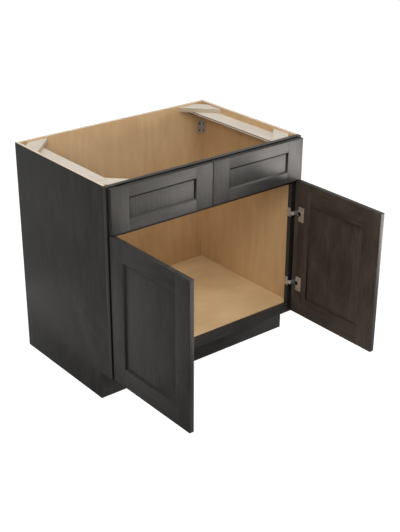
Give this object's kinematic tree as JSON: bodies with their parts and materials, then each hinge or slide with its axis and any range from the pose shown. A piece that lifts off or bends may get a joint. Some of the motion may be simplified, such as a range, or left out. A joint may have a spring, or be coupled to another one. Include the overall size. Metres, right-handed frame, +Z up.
{
  "type": "sink base cabinet",
  "caption": "Framed full-overlay kitchen sink base cabinet with an open top, false drawer fronts and hinged shaker doors, natural ply inside.",
  "frame": {"origin": "middle of the back panel's bottom edge: the wall is the plane y = 0 and the floor is z = 0", "axes": "+X to the right seen from the front, +Y into the wall (the front faces -Y), +Z up"},
  "size_m": [0.9144, 1.0642, 0.8763],
  "materials": {
    "stained_maple": "charcoal stain under a satin lacquer",
    "natural_ply": "natural maple veneer, satin",
    "pale_ply": "raw pale plywood",
    "nickel": "nickel plate"
  },
  "bodies": {
    "carcass": {"back_panel": "natural_ply", "corner_block_back_left": "pale_ply", "corner_block_back_right": "pale_ply", "corner_block_front_left": "pale_ply", "corner_block_front_right": "pale_ply", "corner_bracket_left": "nickel", "corner_bracket_right": "nickel", "false_front_left_bottom_rail": "stained_maple", "false_front_left_inner_stile": "stained_maple", "false_front_left_outer_stile": "stained_maple", "false_front_left_panel": "stained_maple", "false_front_left_top_rail": "stained_maple", "false_front_right_bottom_rail": "stained_maple", "false_front_right_inner_stile": "stained_maple", "false_front_right_outer_stile": "stained_maple", "false_front_right_panel": "stained_maple", "false_front_right_top_rail": "stained_maple", "floor_panel": "natural_ply", "frame_rail_bottom": "stained_maple", "frame_rail_middle": "stained_maple", "frame_rail_top": "stained_maple", "frame_stile_left": "stained_maple", "frame_stile_right": "stained_maple", "hinge_arm_left_bottom": "nickel", "hinge_arm_left_top": "nickel", "hinge_arm_right_bottom": "nickel", "hinge_arm_right_top": "nickel", "hinge_mount_left_bottom": "nickel", "hinge_mount_left_top": "nickel", "hinge_mount_right_bottom": "nickel", "hinge_mount_right_top": "nickel", "side_panel_left": "stained_maple", "side_panel_right": "stained_maple", "side_rail_left": "pale_ply", "side_rail_right": "pale_ply", "toe_board": "stained_maple"},
    "door_left": {"door_left_bottom_rail": "stained_maple", "door_left_free_stile": "stained_maple", "door_left_hinge_stile": "stained_maple", "door_left_panel": "stained_maple", "door_left_top_rail": "stained_maple", "hinge_cup_left_bottom": "nickel", "hinge_cup_left_top": "nickel", "hinge_pin_left_bottom": "nickel", "hinge_pin_left_top": "nickel"},
    "door_right": {"door_right_bottom_rail": "stained_maple", "door_right_free_stile": "stained_maple", "door_right_hinge_stile": "stained_maple", "door_right_panel": "stained_maple", "door_right_top_rail": "stained_maple", "hinge_cup_right_bottom": "nickel", "hinge_cup_right_top": "nickel", "hinge_pin_right_bottom": "nickel", "hinge_pin_right_top": "nickel"}
  },
  "joints": [
    {"name": "door_left_hinge", "type": "hinge", "parent": "carcass", "child": "door_left", "pos_m": [-0.44385, -0.622, 0.40958], "axis": [0, 0, -1], "range_deg": [-90, 15]},
    {"name": "door_right_hinge", "type": "hinge", "parent": "carcass", "child": "door_right", "pos_m": [0.44385, -0.622, 0.40958], "axis": [0, 0, 1], "range_deg": [-90, 15]}
  ]
}
